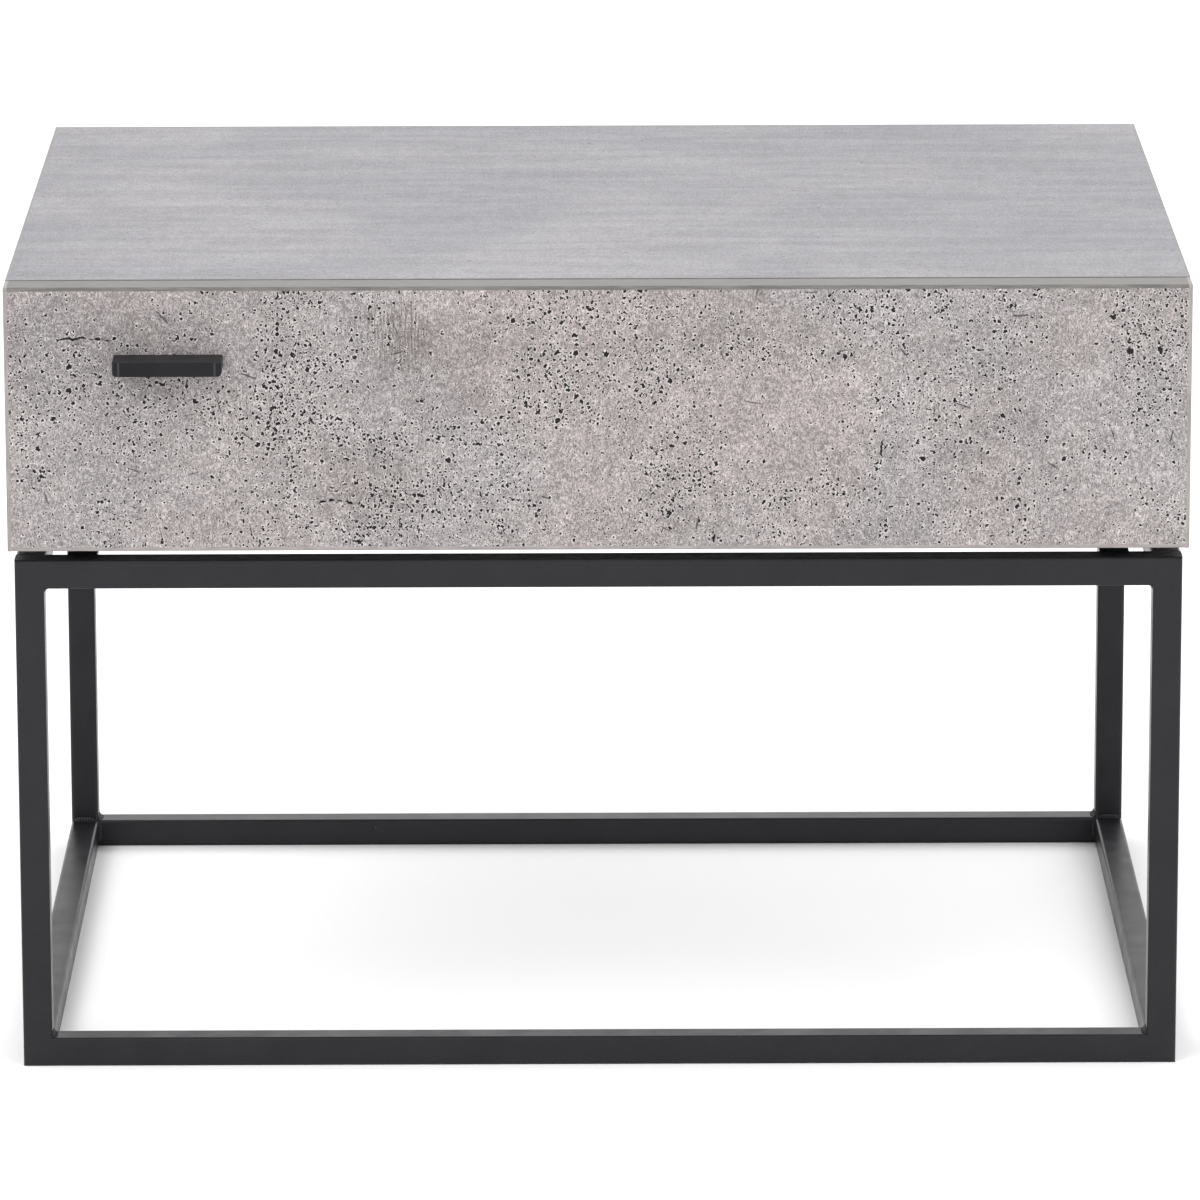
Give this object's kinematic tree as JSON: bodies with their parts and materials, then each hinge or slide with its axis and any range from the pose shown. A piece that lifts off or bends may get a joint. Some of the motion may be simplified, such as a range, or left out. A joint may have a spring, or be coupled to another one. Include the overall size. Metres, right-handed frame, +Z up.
{
  "type": "side table with drawer",
  "caption": "Low rectangular side table: a concrete-look laminated box with one full-width sliding drawer on an open frame of black square steel tube.",
  "frame": {"origin": "on the floor, in the middle of the closed table's outline, finger pull included", "axes": "+Z up, +X along the width to the user's right, the drawer opens towards -Y"},
  "size_m": [0.6, 0.47, 0.41],
  "materials": {
    "concrete_laminate": "matt melamine facing with a concrete look, on chipboard",
    "concrete_band": "matt plastic edge band with a concrete look",
    "plain_band": "plain grey-green matt plastic edge band",
    "frame_powder_coat": "matt black powder coat on steel tube",
    "drawer_board": "plain light grey melamine facing on chipboard",
    "drawer_bottom_board": "plain grey faced fibreboard",
    "beech_dowel": "raw beech",
    "cast_zinc": "die-cast zinc",
    "zinc_plated_screw": "bright zinc-plated steel",
    "black_bolt": "black oxide steel",
    "brass_insert": "plain brass",
    "black_plastic": "matt black plastic",
    "bumper_rubber": "soft grey rubber",
    "zinc_plated_slide": "bright zinc-plated rolled steel",
    "ball_steel": "polished ball steel",
    "pull_black": "matt black coated die casting"
  },
  "bodies": {
    "case_and_frame": {"back_panel": "concrete_laminate", "base_rail_front": "frame_powder_coat", "base_rail_left": "frame_powder_coat", "base_rail_rear": "frame_powder_coat", "base_rail_right": "frame_powder_coat", "bottom_panel": "concrete_laminate", "bottom_panel_band": "concrete_band", "case_cam_bolts": "zinc_plated_screw", "case_cams": "cast_zinc", "case_dowels": "beech_dowel", "frame_bolts": "black_bolt", "frame_inserts": "brass_insert", "frame_spacers": "black_plastic", "frame_tabs": "frame_powder_coat", "front_bumpers": "bumper_rubber", "leg_front_left": "frame_powder_coat", "leg_front_right": "frame_powder_coat", "leg_rear_left": "frame_powder_coat", "leg_rear_right": "frame_powder_coat", "side_panel_bands": "concrete_band", "side_panel_left": "concrete_laminate", "side_panel_right": "concrete_laminate", "slide_outer_left": "zinc_plated_slide", "slide_outer_right": "zinc_plated_slide", "slide_outer_screws": "zinc_plated_screw", "top_panel": "concrete_laminate", "top_panel_bands": "concrete_band", "top_rail_front": "frame_powder_coat", "top_rail_left": "frame_powder_coat", "top_rail_rear": "frame_powder_coat", "top_rail_right": "frame_powder_coat"},
    "drawer": {"drawer_back": "drawer_board", "drawer_back_screws": "zinc_plated_screw", "drawer_bottom": "drawer_bottom_board", "drawer_cam_bolts": "zinc_plated_screw", "drawer_cams": "cast_zinc", "drawer_dowels": "beech_dowel", "drawer_front": "concrete_laminate", "drawer_side_left": "drawer_board", "drawer_side_right": "drawer_board", "finger_pull": "pull_black", "front_band_bottom": "concrete_band", "front_band_left": "concrete_band", "front_band_right": "concrete_band", "front_band_top": "plain_band", "pull_screws": "zinc_plated_screw", "slide_inner_left": "zinc_plated_slide", "slide_inner_right": "zinc_plated_slide", "slide_inner_screws": "zinc_plated_screw"},
    "ball_cages": {"ball_cage_left": "zinc_plated_slide", "ball_cage_right": "zinc_plated_slide", "slide_balls_left": "ball_steel", "slide_balls_right": "ball_steel"}
  },
  "joints": [
    {"name": "drawer_slide", "type": "slide", "parent": "case_and_frame", "child": "drawer", "axis": [0, -1, 0], "range_m": [0, 0.25]},
    {"name": "ball_cage_slide", "type": "slide", "parent": "case_and_frame", "child": "ball_cages", "axis": [0, -1, 0], "range_m": [0, 0.125]}
  ],
  "couplings": [
    {"joint": "ball_cage_slide", "follows": "drawer_slide", "ratio": 0.5}
  ]
}
